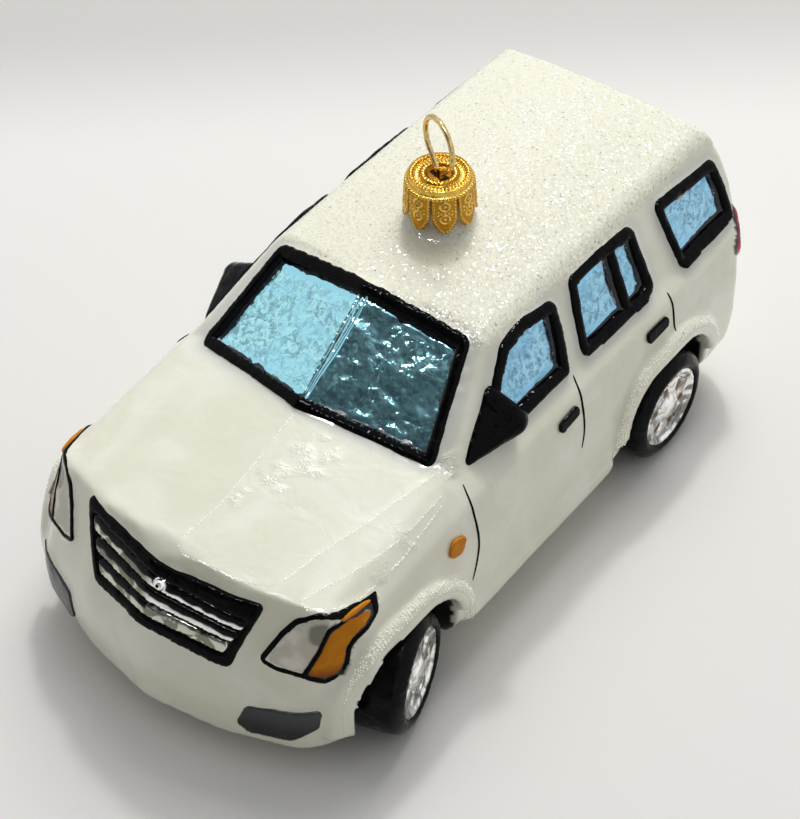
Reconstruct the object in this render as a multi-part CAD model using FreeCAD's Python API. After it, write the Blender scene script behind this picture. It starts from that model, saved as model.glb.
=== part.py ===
import FreeCAD, Part
import math
import os
from FreeCAD import Vector

# A mouth-blown glass tree ornament in the shape of a sport utility car, at its own size.
# Millimetres. The origin is on the floor at the middle of the car, the nose looks along -Y,
# +X is the car's left-hand side and +Z is up.

# Driving dimensions of the car
body_length = 120.0
front_overhang = 23.7
wheelbase = 68.0
body_half_width = 30.5
floor_z = 5.0
belt_z = 31.0
roof_z = 44.6
glass_wall = 1.1
seat_gap = 0.05
enamel_proud = 0.45
pane_recess = 0.5
pane_thickness = 0.9

# Wheels, moulded with the body; the front pair is turned towards the car's left
tyre_radius = 9.5
tyre_width = 10.4
foot_flat = 0.12
track_half = 32.2
rim_radius = 7.0
rim_depth = 1.6
rim_recess = 0.5
rim_windows = 6
arch_half_length = 12.0
arch_height = 11.0
arch_corner = 8.5
flare_width = 3.1
flare_proud = 1.5
flare_round = 1.3
front_lip_ends = (8.0, 12.5)
rear_lip_ends = (12.0, 12.5)
steer_angle = 18.0
front_well_x = 18.3
stub_radius = 3.5
sill_low_z = 7.8
sill_high_z = 11.6
sill_proud = 0.9
sill_end_round = 1.8
sill_edge_round = 1.1

# Crown cap, neck and hanger
cap_y = 12.6
neck_radius = 3.8
neck_wall = 0.9
neck_rise = 7.0
cap_sheet = 0.35
cap_disc_radius = 4.75
cap_shoulder_radius = 5.2
cap_skirt_radius = 5.6
cap_skirt_height = 7.3
cap_trough = 0.35
cap_clearance = 0.15
petals = 8
petal_point = 2.4
petal_slit = 0.3
slit_top_drop = 1.5
slot_length = 3.2
slot_width = 1.3
slot_turn = -14.0
wire_radius = 0.42
loop_radius = 4.1
loop_turn = -24.5

nose_y = -body_length / 2
tail_y = body_length / 2
front_axle_y = nose_y + front_overhang
rear_axle_y = front_axle_y + wheelbase
axle_z = tyre_radius - foot_flat
roof_top_z = 47.2
cap_top_z = roof_top_z + neck_rise + cap_clearance + cap_sheet + 0.9
rear_well_x = track_half - tyre_width - seat_gap
steer_x = track_half - tyre_width / 2


def offset_polygon(points, inset):
    """The corners of a closed, anticlockwise outline moved inwards by inset."""
    moved = []
    for i, (bx, by) in enumerate(points):
        ax, ay = points[i - 1]
        cx, cy = points[(i + 1) % len(points)]
        ux, uy = bx - ax, by - ay
        vx, vy = cx - bx, cy - by
        before, after = math.hypot(ux, uy), math.hypot(vx, vy)
        ux, uy, vx, vy = ux / before, uy / before, vx / after, vy / after
        cross = ux * vy - uy * vx
        px, py = bx - uy * inset, by + ux * inset
        qx, qy = bx - vy * inset, by + vx * inset
        if abs(cross) > 1e-6:
            along = ((qx - px) * vy - (qy - py) * vx) / cross
            px, py = px + along * ux, py + along * uy
        moved.append((px, py))
    return moved


def rounded_wire(corners, place, inset=0.0):
    """A closed wire through corners (a, b, radius), put in space by place(a, b); radius 0 is sharp."""
    points = offset_polygon([corner[:2] for corner in corners], inset)
    starts, mids, ends = [], [], []
    for i, (bx, by) in enumerate(points):
        ax, ay = points[i - 1]
        cx, cy = points[(i + 1) % len(points)]
        back, ahead = math.hypot(ax - bx, ay - by), math.hypot(cx - bx, cy - by)
        ux, uy = (ax - bx) / back, (ay - by) / back
        vx, vy = (cx - bx) / ahead, (cy - by) / ahead
        half = math.acos(max(-1.0, min(1.0, ux * vx + uy * vy))) / 2
        outward = ux * vy - uy * vx < 0
        radius = max(corners[i][2] + (-inset if outward else inset), 0.05) if corners[i][2] else 0.0
        reach = radius / math.tan(half)
        depth = radius / math.sin(half) - radius
        wx, wy = ux + vx, uy + vy
        middle = math.hypot(wx, wy)
        starts.append(place(bx + ux * reach, by + uy * reach))
        mids.append(place(bx + wx / middle * depth, by + wy / middle * depth))
        ends.append(place(bx + vx * reach, by + vy * reach))
    edges = []
    for i in range(len(points)):
        if corners[i][2]:
            edges.append(Part.Arc(starts[i], mids[i], ends[i]).toShape())
        following = starts[(i + 1) % len(points)]
        if (following - ends[i]).Length > 1e-4:
            edges.append(Part.makeLine(ends[i], following))
    return Part.Wire(edges)


def prism(corners, place, along, inset=0.0):
    """A rounded outline, inset and extruded."""
    return Part.Face(rounded_wire(corners, place, inset)).extrude(along)


def both_sides(right):
    """The corners of a half outline, joined to their mirror image."""
    left = [(-a, b, radius) for a, b, radius in reversed(right) if a > 0]
    return right + left


def mirrored(shape):
    """The same piece on the other side of the car."""
    return shape.mirror(Vector(0, 0, 0), Vector(1, 0, 0))


# The body's outer form

hood_slope = 0.108
cowl_y = -19.3
windscreen_low = Vector(21.8, -18.6, 32.5)
windscreen_top = Vector(17.5, -3.5, 43.8)
windscreen_keel = Vector(0, -22.3, 35.0)


def plan_station(nose, half, tail):
    """The body's outline seen from above at one height: a blunt V at the nose, a squarer tail."""
    return both_sides([
        (0.0, nose, 10.0), (13.0, nose + 2.2, 20.0), (25.4, nose + 6.7, 9.0),
        (half, nose + 14.5, 8.0), (half + 0.9, 0.0, 300.0), (half, tail - 4.0, 4.5),
        (half - 4.5, tail - 0.9, 5.0), (0.0, tail + 0.3, 150.0)])


def plan_stations():
    """Height, nose, half width and tail of the plan outlines."""
    return [
        (floor_z - 2.0, nose_y + 1.2, body_half_width - 1.7, tail_y - 9.0),
        (12.0, nose_y + 0.1, body_half_width + 0.5, tail_y - 4.1),
        (21.0, nose_y + 2.9, body_half_width + 0.1, tail_y - 2.9),
        (belt_z, nose_y + 7.9, body_half_width - 2.1, tail_y - 0.7),
        (40.0, nose_y + 12.6, body_half_width - 2.8, tail_y - 0.9),
        (50.0, nose_y + 17.7, body_half_width - 3.5, tail_y - 3.5)]


def side_outline():
    """The car seen from the side, only where it rounds the hood, the floor and the roof's end."""
    beyond = 6.0
    return [
        (nose_y + 0.5, floor_z, 4.0), (tail_y - 3.0, floor_z, 4.0),
        (tail_y + beyond, 14.0, 8.0), (tail_y + beyond, belt_z - 1.0, 8.0),
        (tail_y - 5.3, 47.4, 5.0), (10.0, 60.0, 5.0), (cowl_y - 2.0, 60.0, 5.0),
        (cowl_y - 2.0, 35.4, 2.0), (nose_y + 9.7, 32.6, 11.0), (nose_y, 22.0, 8.0),
        (nose_y - beyond, 14.0, 4.0)]


def lower_outline():
    """The section of the lower body: flat floor, upright doors, soft shoulder, crowned top."""
    return both_sides([
        (0.0, floor_z - 0.01, 5.0), (body_half_width - 2.9, floor_z, 2.5),
        (body_half_width, 9.5, 4.0), (body_half_width - 0.5, 22.0, 14.0),
        (body_half_width - 2.1, 28.5, 5.0), (body_half_width - 5.5, 32.2, 5.0), (0.0, 35.9, 60.0)])


def cabin_outline(half_low, half_top, edge_z, rise):
    """A section of the cabin: leaning sides, round rails and a crowned roof."""
    lean = (half_low - half_top) / (edge_z - belt_z)
    low_z = belt_z - 4.0
    half_base = half_low + lean * 4.0
    crown_radius = 0.75 * half_top ** 2 / rise
    return [
        (-half_base, low_z, 0.5), (half_base, low_z, 0.5), (half_top, edge_z, 3.5),
        (0.0, edge_z + rise, crown_radius), (-half_top, edge_z, 3.5)]


def cabin_stations():
    """Place along the car, half widths at belt and rail, rail height and rise of the roof."""
    return [
        (-33.3, 25.4, 18.6, roof_z - 1.0, 0.6), (cap_y + 0.7, 26.0, 19.4, roof_z, 4.0),
        (66.7, 25.8, 19.2, roof_z, 1.2)]


def half_space(point, normal, inset):
    """A block that fills the side of a plane to which the normal points."""
    size = 300
    block = Part.makeBox(size, size, size, Vector(-size / 2, -size / 2, 0))
    turn = FreeCAD.Rotation(Vector(0, 0, 1), normal)
    block.Placement = FreeCAD.Placement(point - normal * inset, turn)
    return block


def windscreen_normal(side):
    """The outward normal of one half of the windscreen."""
    low = Vector(side * windscreen_low.x, windscreen_low.y, windscreen_low.z)
    top = Vector(side * windscreen_top.x, windscreen_top.y, windscreen_top.z)
    normal = (top - low).cross(windscreen_keel - low)
    return low, normal.normalize() * (1 if normal.z > 0 else -1)


def body_form(inset=0.0):
    """The whole body's outer form, with every face moved inwards by inset."""
    run = cowl_y - nose_y + 10
    drop = hood_slope * run
    hood = prism(lower_outline(), lambda x, z: Vector(x, cowl_y - run, z - drop),
                 Vector(0, run, drop), inset)
    deck = prism(lower_outline(), lambda x, z: Vector(x, cowl_y, z),
                 Vector(0, tail_y - cowl_y + 10, 0), inset)
    wires = [rounded_wire(cabin_outline(*station[1:]), lambda x, z, y=station[0]: Vector(x, y, z), inset)
             for station in cabin_stations()]
    cabin = Part.makeLoft(wires, True, False)
    for side in (1, -1):
        point, normal = windscreen_normal(side)
        cabin = cabin.cut(half_space(point, normal, inset))
    side_block = prism(side_outline(), lambda y, z: Vector(-50, y, z), Vector(100, 0, 0), inset)
    wires = [rounded_wire(plan_station(*station[1:]), lambda x, y, z=station[0]: Vector(x, y, z), inset)
             for station in plan_stations()]
    plan_block = Part.makeLoft(wires, True, False)
    form = hood.fuse(deck).fuse(cabin).common(side_block).common(plan_block)
    return form.Solids[0]


forms = {}


def form_at(inset):
    """The body form at an inset, made once."""
    if inset not in forms:
        forms[inset] = body_form(inset)
    return forms[inset]


def layer(outside, inside, block):
    """The part of a block that lies between two insets of the body form."""
    return block.common(form_at(outside)).cut(form_at(inside))


# Outlines of what is painted or silvered on the body

bead_width = 1.15

front_door_outline = [
    (-8.3, 31.7, 0.8), (9.6, 31.5, 1.0), (11.4, 37.2, 6.0), (12.2, 41.6, 1.2), (4.9, 42.7, 8.0),
    (-0.4, 41.9, 3.0), (-5.4, 37.9, 9.0)]
rear_door_outline = [
    (13.5, 31.3, 1.2), (30.3, 30.9, 1.6), (32.7, 31.9, 1.4), (32.8, 41.8, 1.6), (24.3, 42.5, 9.0),
    (16.6, 42.3, 1.4), (15.0, 37.4, 8.0)]
quarter_outline = [
    (40.2, 30.4, 1.4), (55.8, 30.8, 1.4), (56.2, 35.5, 6.0), (55.5, 40.2, 1.4), (39.2, 41.6, 1.4)]
door_bar = [(25.1, 30.0), (26.3, 30.0), (27.5, 43.5), (26.3, 43.5)]
windscreen_outline = both_sides([(0.0, -22.6, 3.0), (21.9, -18.9, 1.2), (17.5, -3.7, 1.2), (0.0, -5.2, 3.0)])
rear_glass_outline = both_sides([(0.0, 31.2, 9.0), (21.0, 31.6, 1.6), (17.0, 41.6, 1.6), (0.0, 41.8, 9.0)])

grille_outline = [
    (-10.8, 20.4, 0.7), (0.0, 20.1, 2.0), (13.9, 19.1, 0.7), (16.5, 28.8, 0.5), (0.1, 29.3, 2.0),
    (-16.1, 29.8, 0.5)]
grille_low_edge = [(-10.1, 21.8), (0.0, 21.6), (12.9, 20.9)]
grille_high_edge = [(-14.4, 28.9), (0.0, 27.9), (15.5, 26.6)]
grille_bars = [(0.03, 0.29), (0.37, 0.63), (0.71, 0.97)]

lamp_outline = [
    (-17.9, 21.3, 0.8), (-15.5, 20.4, 1.5), (-12.0, 20.2, 4.0), (-8.6, 19.2, 1.2), (-6.0, 19.8, 1.5),
    (-5.1, 21.6, 1.5), (-4.8, 23.9, 2.0), (-1.0, 26.4, 0.7), (-1.4, 28.2, 0.6), (-4.5, 28.8, 5.0),
    (-9.4, 29.4, 4.0), (-12.2, 28.2, 3.0), (-14.5, 25.9, 3.0)]
lamp_divider = [(-12.2, 17.0), (-11.6, 20.7), (-9.4, 24.1), (-7.9, 27.1), (-5.5, 28.3), (0.0, 28.4)]
lamp_bead = 0.55
fog_outline = [
    (15.8, 9.6, 1.0), (17.4, 7.9, 1.5), (23.6, 8.2, 3.0), (26.7, 11.0, 1.2), (27.2, 14.6, 0.8),
    (24.0, 14.2, 4.0), (17.2, 13.4, 1.4)]
tail_lamp_outline = [
    (-19.5, 22.3, 1.5), (-10.8, 22.8, 1.5), (-9.0, 26.4, 1.5), (-13.4, 31.0, 1.0), (-18.8, 30.8, 1.5)]
handle_outlines = [
    [(3.0, 25.7, 0.7), (8.1, 26.1, 0.7), (8.0, 27.7, 0.7), (3.2, 27.4, 0.7)],
    [(27.0, 25.6, 0.7), (32.8, 25.7, 0.7), (32.8, 27.3, 0.7), (27.2, 27.5, 0.7)]]
marker_outline = [(-25.7, 24.0, 1.0), (-22.5, 23.4, 1.0), (-20.9, 25.2, 0.8), (-23.4, 25.9, 1.2)]
mirror_proud = 1.0
mirror_sail_outline = [(-15.4, 31.5, 0.3), (-5.2, 30.0, 0.8), (-4.9, 38.4, 0.4)]
mirror_sections = [
    (21.0, [(-15.6, 31.2, 0.5), (-4.6, 30.2, 1.0), (-4.4, 38.0, 0.8)]),
    (24.5, [(-12.4, 32.4, 0.8), (-4.2, 30.6, 1.2), (-4.0, 37.2, 0.9)]),
    (26.4, [(-9.6, 33.2, 0.9), (-3.8, 31.4, 1.0), (-3.5, 36.2, 0.9)]),
    (27.8, [(-7.2, 33.4, 0.6), (-3.6, 32.0, 0.7), (-3.2, 35.0, 0.6)]),
    (28.6, [(-5.8, 33.4, 0.4), (-3.9, 32.6, 0.4), (-3.6, 34.3, 0.3)])]


def sideways(corners, inset=0.0):
    """An outline in the side view as a block through the left-hand side."""
    return prism(corners, lambda y, z: Vector(14, y, z), Vector(22, 0, 0), inset)


def upwards(corners, inset=0.0):
    """An outline in the plan view as a block through the windscreen."""
    return prism(corners, lambda x, y: Vector(x, y, 29.5), Vector(0, 0, 20), inset)


def forwards(corners, inset=0.0):
    """An outline in the front view as a block through the nose."""
    return prism(corners, lambda x, z: Vector(x, nose_y - 4, z), Vector(0, 22, 0), inset)


def backwards(corners, inset=0.0):
    """An outline in the rear view as a block through the tail."""
    return prism(corners, lambda x, z: Vector(x, tail_y - 16, z), Vector(0, 20, 0), inset)


corner_out = Vector(0.6, -0.8, 0)
corner_along = Vector(0.8, 0.6, 0)


def cornerwards(corners, inset=0.0):
    """An outline on the front left-hand corner, seen square to that corner, as a block."""
    return prism(corners, lambda u, z: corner_along * u + corner_out * 42 + Vector(0, 0, z),
                 corner_out * 22, inset)


rear_corner_out = Vector(0.6, 0.8, 0)
rear_corner_along = Vector(0.8, -0.6, 0)


def rear_cornerwards(corners, inset=0.0):
    """An outline on the rear left-hand corner, seen square to that corner, as a block."""
    return prism(corners, lambda u, z: rear_corner_along * u + rear_corner_out * 42 + Vector(0, 0, z),
                 rear_corner_out * 22, inset)


def bordered_pane(corners, block, bead=bead_width):
    """An opening, its raised enamel bead and the recessed pane inside the bead."""
    opening = block(corners)
    bead_ring = block(corners, seat_gap).cut(block(corners, seat_gap + bead))
    frame = layer(-enamel_proud, glass_wall, bead_ring)
    pane = layer(pane_recess, pane_recess + pane_thickness, block(corners, 2 * seat_gap + bead))
    return opening, frame, pane


def arch_block(y, out, start):
    """A wheel opening as a block that runs outwards from start, grown by out."""
    half, top = arch_half_length + out, axle_z + arch_height + out
    radius = arch_corner + out
    outline = [
        (y - half, -10.0, 1.0), (y + half, -10.0, 1.0), (y + half, top, radius), (y - half, top, radius)]
    return prism(outline, lambda a, z: Vector(start, a, z), Vector(40 - start, 0, 0))


def wheel_wells(out):
    """The four wheel wells, grown by out; the front pair is deeper for the turned wheels."""
    wells = []
    for y, start in ((front_axle_y, front_well_x), (rear_axle_y, rear_well_x)):
        well = arch_block(y, out, start - out)
        wells += [well, mirrored(well)]
    return wells


def beyond_opening(point, y):
    """How far a point lies outside the outline of the wheel opening at y."""
    along = max(abs(point.y - y) - arch_half_length + arch_corner, 0)
    above = max(point.z - axle_z - arch_height + arch_corner, 0)
    return math.hypot(along, above) - arch_corner


def arch_flare(y, leg_ends):
    """The raised, rounded lip round one wheel opening; leg_ends are its ends' heights, front and rear."""
    band = arch_block(y, flare_width, body_half_width - 4.0).cut(arch_block(y, 0.0, body_half_width - 5.0))
    front_leg = Part.makeBox(100, 50, 40, Vector(0, y - 50, leg_ends[0]))
    rear_leg = Part.makeBox(100, 50, 40, Vector(0, y, leg_ends[1]))
    flare = band.common(front_leg.fuse(rear_leg)).common(form_at(-flare_proud))
    shoulder = []
    for edge in flare.Edges:
        middle = edge.valueAt((edge.FirstParameter + edge.LastParameter) / 2)
        across = edge.BoundBox.XLength > 0.6 * edge.Length
        outside = middle.x > body_half_width - 3.5 and middle.z > min(leg_ends) + 0.1
        if outside and not across and abs(beyond_opening(middle, y) - flare_width) < 0.05:
            shoulder.append(edge)
    return flare.makeFillet(flare_round, shoulder)


def sill():
    """The running board between the arch lips, with rounded ends."""
    run_start = front_axle_y + arch_half_length + 1.4
    run_end = rear_axle_y - arch_half_length - flare_width - 0.4
    outline = [
        (run_start, sill_low_z, sill_end_round), (run_end, sill_low_z, sill_end_round),
        (run_end, sill_high_z, sill_end_round), (run_start, sill_high_z, sill_end_round)]
    board = prism(outline, lambda y, z: Vector(body_half_width - 5, y, z), Vector(5 + sill_proud, 0, 0))
    outer = [edge for edge in board.Edges if edge.BoundBox.XMin > body_half_width + sill_proud - 0.1]
    return board.makeFillet(sill_edge_round, outer)


def steered(shape, side):
    """A front wheel's piece, turned about its upright steering axis."""
    turned = shape.copy()
    turned.rotate(Vector(side * steer_x, front_axle_y, 0), Vector(0, 0, 1), steer_angle)
    return turned


def wheel_stub(side):
    """The short glass neck that joins one turned front wheel to the wall of its well."""
    inner_face = track_half - tyre_width - seat_gap
    stub = Part.makeCylinder(stub_radius, 8, Vector(inner_face - 8, front_axle_y, axle_z), Vector(1, 0, 0))
    stub = steered(stub if side > 0 else mirrored(stub), side)
    keep = Part.makeBox(30, 40, 40, Vector(front_well_x - glass_wall / 2, front_axle_y - 20, 0))
    return stub.common(keep if side > 0 else mirrored(keep))


def rod(radius, low_z, high_z):
    """An upright cylinder on the neck's axis."""
    return Part.makeCylinder(radius, high_z - low_z, Vector(0, cap_y, low_z))


neck_top_z = cap_top_z - cap_trough - cap_sheet - cap_clearance
neck_bore = neck_radius - neck_wall


def save(name, shape):
    """Write one sub-part to its own file."""
    shape.exportStep(f"parts/{name}.step")


def save_pair(name, shape):
    """Write a left-hand sub-part and its mirror image."""
    save(f"{name}_left", shape)
    save(f"{name}_right", mirrored(shape))


os.makedirs("parts", exist_ok=True)
openings, lamp_openings = [], []


# Windscreen: one black bead round two silvered panes that meet at a crease

opening, frame, pane = bordered_pane(windscreen_outline, upwards)
openings.append(opening)
half_block = Part.makeBox(60, 100, 100, Vector(seat_gap / 2, -60, 0))
save("windscreen_frame", frame)
save_pair("windscreen", pane.common(half_block))

# Side glass, with the upright bar in the rear door

opening, frame, pane = bordered_pane(front_door_outline, sideways)
openings += [opening, mirrored(opening)]
save_pair("front_door_frame", frame)
save_pair("front_door_glass", pane)

opening, frame, pane = bordered_pane(rear_door_outline, sideways)
bar_wire = Part.makePolygon([Vector(14, y, z) for y, z in door_bar + door_bar[:1]])
bar_block = Part.Face(bar_wire).extrude(Vector(22, 0, 0))
bar_block = bar_block.common(sideways(rear_door_outline, seat_gap + bead_width / 2))
openings += [opening, mirrored(opening)]
save_pair("rear_door_frame", frame.fuse(layer(-enamel_proud, pane_recess - seat_gap, bar_block)))
save_pair("rear_door_glass", pane)

opening, frame, pane = bordered_pane(quarter_outline, sideways)
openings += [opening, mirrored(opening)]
save_pair("quarter_frame", frame)
save_pair("quarter_glass", pane)

opening, frame, pane = bordered_pane(rear_glass_outline, backwards)
openings.append(opening)
save("rear_glass_frame", frame)
save("rear_glass", pane)

# Grille: a black field with a raised rim, and three silvered V bars


def grille_band(low, high, end_radius):
    """A V band across the grille's hollow, between two fractions of its height."""
    rows = []
    for fraction in (low, high):
        rows.append([(a + (c - a) * fraction, b + (d - b) * fraction)
                     for (a, b), (c, d) in zip(grille_low_edge, grille_high_edge)])
    radii = [end_radius, 1.5, end_radius]
    corners = list(zip(rows[0], radii)) + list(zip(rows[1], radii))[::-1]
    return [(x, z, radius) for (x, z), radius in corners]


opening = forwards(grille_outline)
openings.append(opening)
hollow = forwards(grille_band(0.0, 1.0, 0.5))
rim = layer(-enamel_proud, glass_wall, forwards(grille_outline, seat_gap).cut(hollow))
field_depth = 0.5
field = layer(field_depth, glass_wall, hollow)
bars = [layer(-enamel_proud, field_depth - seat_gap, forwards(grille_band(low, high, 0.6), seat_gap))
        for low, high in grille_bars]
save("grille_surround", rim.fuse(field))
save("grille_bars", Part.makeCompound(bars))

# Headlamps: a clear inner part, an amber outer part and the black line round and between them

lamp_inner = cornerwards(lamp_outline, seat_gap + lamp_bead)
lamp_ring = cornerwards(lamp_outline, seat_gap).cut(lamp_inner)
divider_wire = [corner_along * u + corner_out * 42 + Vector(0, 0, z) for u, z in lamp_divider + [(6.0, 17.0)]]
amber_side = Part.Face(Part.makePolygon(divider_wire + divider_wire[:1])).extrude(corner_out * 22)
line_shift = corner_along * (lamp_bead * 0.7) + Vector(0, 0, -lamp_bead * 0.7)
amber_inner = amber_side.translated(line_shift)
divider_line = amber_side.cut(amber_inner).common(lamp_inner)
opening = cornerwards(lamp_outline)
lamp_openings += [opening, mirrored(opening)]
lamp_proud = 0.2
lamp_core = cornerwards(lamp_outline, 2 * seat_gap + lamp_bead)
save_pair("headlamp_outline", layer(-enamel_proud, glass_wall, lamp_ring.fuse(divider_line)))
save_pair("headlamp", layer(-lamp_proud, glass_wall, lamp_core.cut(amber_side)))
save_pair("turn_lamp", layer(-lamp_proud, glass_wall, lamp_core.common(amber_inner)))

# Fog lamps, tail lamps, door handles and side markers: fields of enamel in the shell

fog_opening = forwards(fog_outline)
lamp_openings += [fog_opening, mirrored(fog_opening)]
save_pair("fog_lamp", layer(-enamel_proud, glass_wall, forwards(fog_outline, seat_gap)))

tail_opening = rear_cornerwards(tail_lamp_outline)
lamp_openings += [tail_opening, mirrored(tail_opening)]
save_pair("tail_lamp", layer(-enamel_proud, glass_wall, rear_cornerwards(tail_lamp_outline, seat_gap)))

handles = [layer(-enamel_proud, -seat_gap, sideways(outline)) for outline in handle_outlines]
save_pair("door_handles", Part.makeCompound(handles))

marker = layer(-enamel_proud, -seat_gap, sideways(marker_outline))
save("side_markers", Part.makeCompound([marker, mirrored(marker)]))

# Door mirrors: a sail on the door and pillar, drawn out to a pointed pod

wires = [rounded_wire(corners, lambda y, z, x=x: Vector(x, y, z)) for x, corners in mirror_sections]
pod = Part.makeLoft(wires, True, False).cut(form_at(-enamel_proud - seat_gap))
sail_block = sideways(mirror_sail_outline)
on_door = layer(-mirror_proud, -seat_gap, sail_block.cut(sideways(front_door_outline, -seat_gap)))
on_glass = layer(-mirror_proud, -enamel_proud - seat_gap, sail_block)
save_pair("mirror", pod.fuse(on_door).fuse(on_glass))

# The blown shell: hollow, with wheel wells, arch lips, running boards and the neck

outer = form_at(0.0)
for y, leg_ends in ((front_axle_y, front_lip_ends), (rear_axle_y, rear_lip_ends)):
    flare = arch_flare(y, leg_ends)
    outer = outer.fuse(flare).fuse(mirrored(flare))
outer = outer.fuse(sill()).fuse(mirrored(sill()))
collar = Part.makeCone(neck_radius + 3.0, neck_radius, 3.0, Vector(0, cap_y, roof_top_z - 1.2))
outer = outer.fuse(rod(neck_radius, roof_top_z - 5, neck_top_z)).fuse(collar)
outer = outer.cut(Part.makeCompound(wheel_wells(0.0)))
inner = form_at(glass_wall).cut(Part.makeCompound(wheel_wells(glass_wall)))
shell = outer.cut(inner).cut(rod(neck_bore, roof_top_z - 8, neck_top_z + 1))
shell = shell.fuse(wheel_stub(1)).fuse(wheel_stub(-1))
behind_panes = form_at(pane_recess + pane_thickness)
openings += [opening.cut(behind_panes) for opening in lamp_openings]
shell = shell.cut(Part.makeCompound(openings))
save("body_shell", shell)

# Wheels: a soft-shouldered tyre with a flat foot, and a silvered rim with its windows


def wheel_outline():
    """Half the tyre's section, as distance out along X and radius."""
    inner_x, outer_x = track_half - tyre_width, track_half
    return [
        (inner_x, 0.0, 0), (outer_x - rim_depth, 0.0, 0), (outer_x - rim_depth, rim_radius, 0),
        (outer_x - rim_recess, rim_radius, 0), (outer_x, rim_radius + 0.7, 0.5),
        (outer_x - 1.2, tyre_radius, 1.6), (inner_x, tyre_radius, 1.0)]


def tyre(y):
    """One tyre on the left-hand side, its well-side face closed."""
    face = Part.Face(rounded_wire(wheel_outline(), lambda x, r: Vector(x, y, axle_z + r)))
    solid = face.revolve(Vector(0, y, axle_z), Vector(1, 0, 0), 360)
    return solid.common(Part.makeBox(80, 40, 40, Vector(0, y - 20, 0)))


def rim_disc(y):
    """One rim: a dished disc, a hub boss and a ring of windows between spokes."""
    back_x = track_half - rim_depth + seat_gap
    lip_x = track_half - rim_recess
    radius = rim_radius - seat_gap
    outline = [
        (back_x, 0.0, 0), (lip_x + 0.3, 0.0, 0), (lip_x + 0.1, 1.8, 0), (lip_x - 0.4, 2.3, 0),
        (lip_x - 0.4, radius - 1.1, 0), (lip_x + 0.1, radius - 0.5, 0), (lip_x, radius, 0),
        (back_x, radius, 0)]
    face = Part.Face(rounded_wire(outline, lambda x, r: Vector(x, y, axle_z + r)))
    disc = face.revolve(Vector(0, y, axle_z), Vector(1, 0, 0), 360)
    window = [(-0.75, 2.7, 0), (0.75, 2.7, 0), (1.45, 5.3, 0), (-1.45, 5.3, 0)]
    cutter = prism(window, lambda a, r: Vector(back_x + 0.35, y + a, axle_z + r), Vector(4, 0, 0))
    for i in range(rim_windows):
        turned = cutter.copy()
        turned.rotate(Vector(0, y, axle_z), Vector(1, 0, 0), i * 360 / rim_windows + 15)
        disc = disc.cut(turned)
    return disc


for name, piece in (("tyre", tyre), ("rim", rim_disc)):
    front, rear = piece(front_axle_y), piece(rear_axle_y)
    save(f"{name}_front_left", steered(front, 1))
    save(f"{name}_front_right", steered(mirrored(front), -1))
    save_pair(f"{name}_rear", rear)


# The crown cap: a pressed disc with raised rings, a skirt of eight pointed petals and a slot for the wire


def cap_section():
    """The pressed sheet's outer face as radius, height and bend, then back along its inside."""
    top, bottom = cap_top_z, cap_top_z - cap_skirt_height
    outside = [
        (0.3, top - 0.5), (1.75, top - 0.5), (2.15, top), (2.75, top), (3.05, top - cap_trough),
        (3.95, top - cap_trough), (4.25, top - 0.05), (cap_disc_radius - 0.1, top - 0.1),
        (cap_disc_radius, top - 0.5), (cap_disc_radius, top - 0.95), (cap_shoulder_radius, top - 1.25),
        (cap_skirt_radius, bottom)]
    inside = offset_polygon(outside + [(0.3, bottom)], -cap_sheet)[:len(outside)]
    inside[0] = (0.3, inside[0][1])
    inside[-1] = (inside[-1][0], bottom)
    bends = [0] + [0.12] * (len(outside) - 2) + [0]
    corners = list(zip(outside, bends)) + list(zip(inside, bends))[::-1]
    return [(r, z, bend) for (r, z), bend in corners]


section = Part.Face(rounded_wire(cap_section(), lambda r, z: Vector(r, cap_y, z)))
cap = section.revolve(Vector(0, cap_y, 0), Vector(0, 0, 1), 360)
pitch = 2 * math.pi * cap_skirt_radius / petals
skirt_bottom = cap_top_z - cap_skirt_height


def petal_gap():
    """What is cut between two petals: a narrow slit that opens out between their curved points."""
    corner = [Vector(2, side * pitch / 2, skirt_bottom - 0.1) for side in (-1, 1)]
    belly = [Vector(2, side * pitch * 0.17, skirt_bottom + petal_point * 0.42) for side in (-1, 1)]
    root = [Vector(2, side * petal_slit / 2, skirt_bottom + petal_point) for side in (-1, 1)]
    head = [Vector(2, side * petal_slit / 2, cap_top_z - slit_top_drop) for side in (-1, 1)]
    edges = [
        Part.Arc(corner[0], belly[0], root[0]).toShape(), Part.makeLine(root[0], head[0]),
        Part.makeLine(head[0], head[1]), Part.makeLine(head[1], root[1]),
        Part.Arc(root[1], belly[1], corner[1]).toShape(), Part.makeLine(corner[1], corner[0])]
    return Part.Face(Part.Wire(edges)).extrude(Vector(5, 0, 0))


for i in range(petals):
    gap = petal_gap()
    gap.rotate(Vector(0, 0, 0), Vector(0, 0, 1), (i + 0.5) * 360 / petals)
    cap = cap.cut(gap.translated(Vector(0, cap_y, 0)))
slot = Part.makeBox(slot_length, slot_width, 4, Vector(-slot_length / 2, -slot_width / 2, cap_top_z - 2))
slot.rotate(Vector(0, 0, 0), Vector(0, 0, 1), slot_turn)
cap = cap.cut(slot.translated(Vector(0, cap_y, 0)))
save("cap", cap)

# The wire hanger: a round loop whose legs close in, pass the slot and spread inside the neck

leg_half = 0.85
entry_z = cap_top_z + 0.3
loop_z = cap_top_z + 5.2
spread_half = neck_bore - wire_radius - 0.35
knee_z = cap_top_z - 1.6
foot_z = cap_top_z - 7.0
reach = math.hypot(leg_half, loop_z - entry_z)
swing = math.acos(loop_radius / reach) + math.atan2(leg_half, loop_z - entry_z)
touch = Vector(loop_radius * math.sin(swing), 0, loop_z - loop_radius * math.cos(swing))


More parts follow.
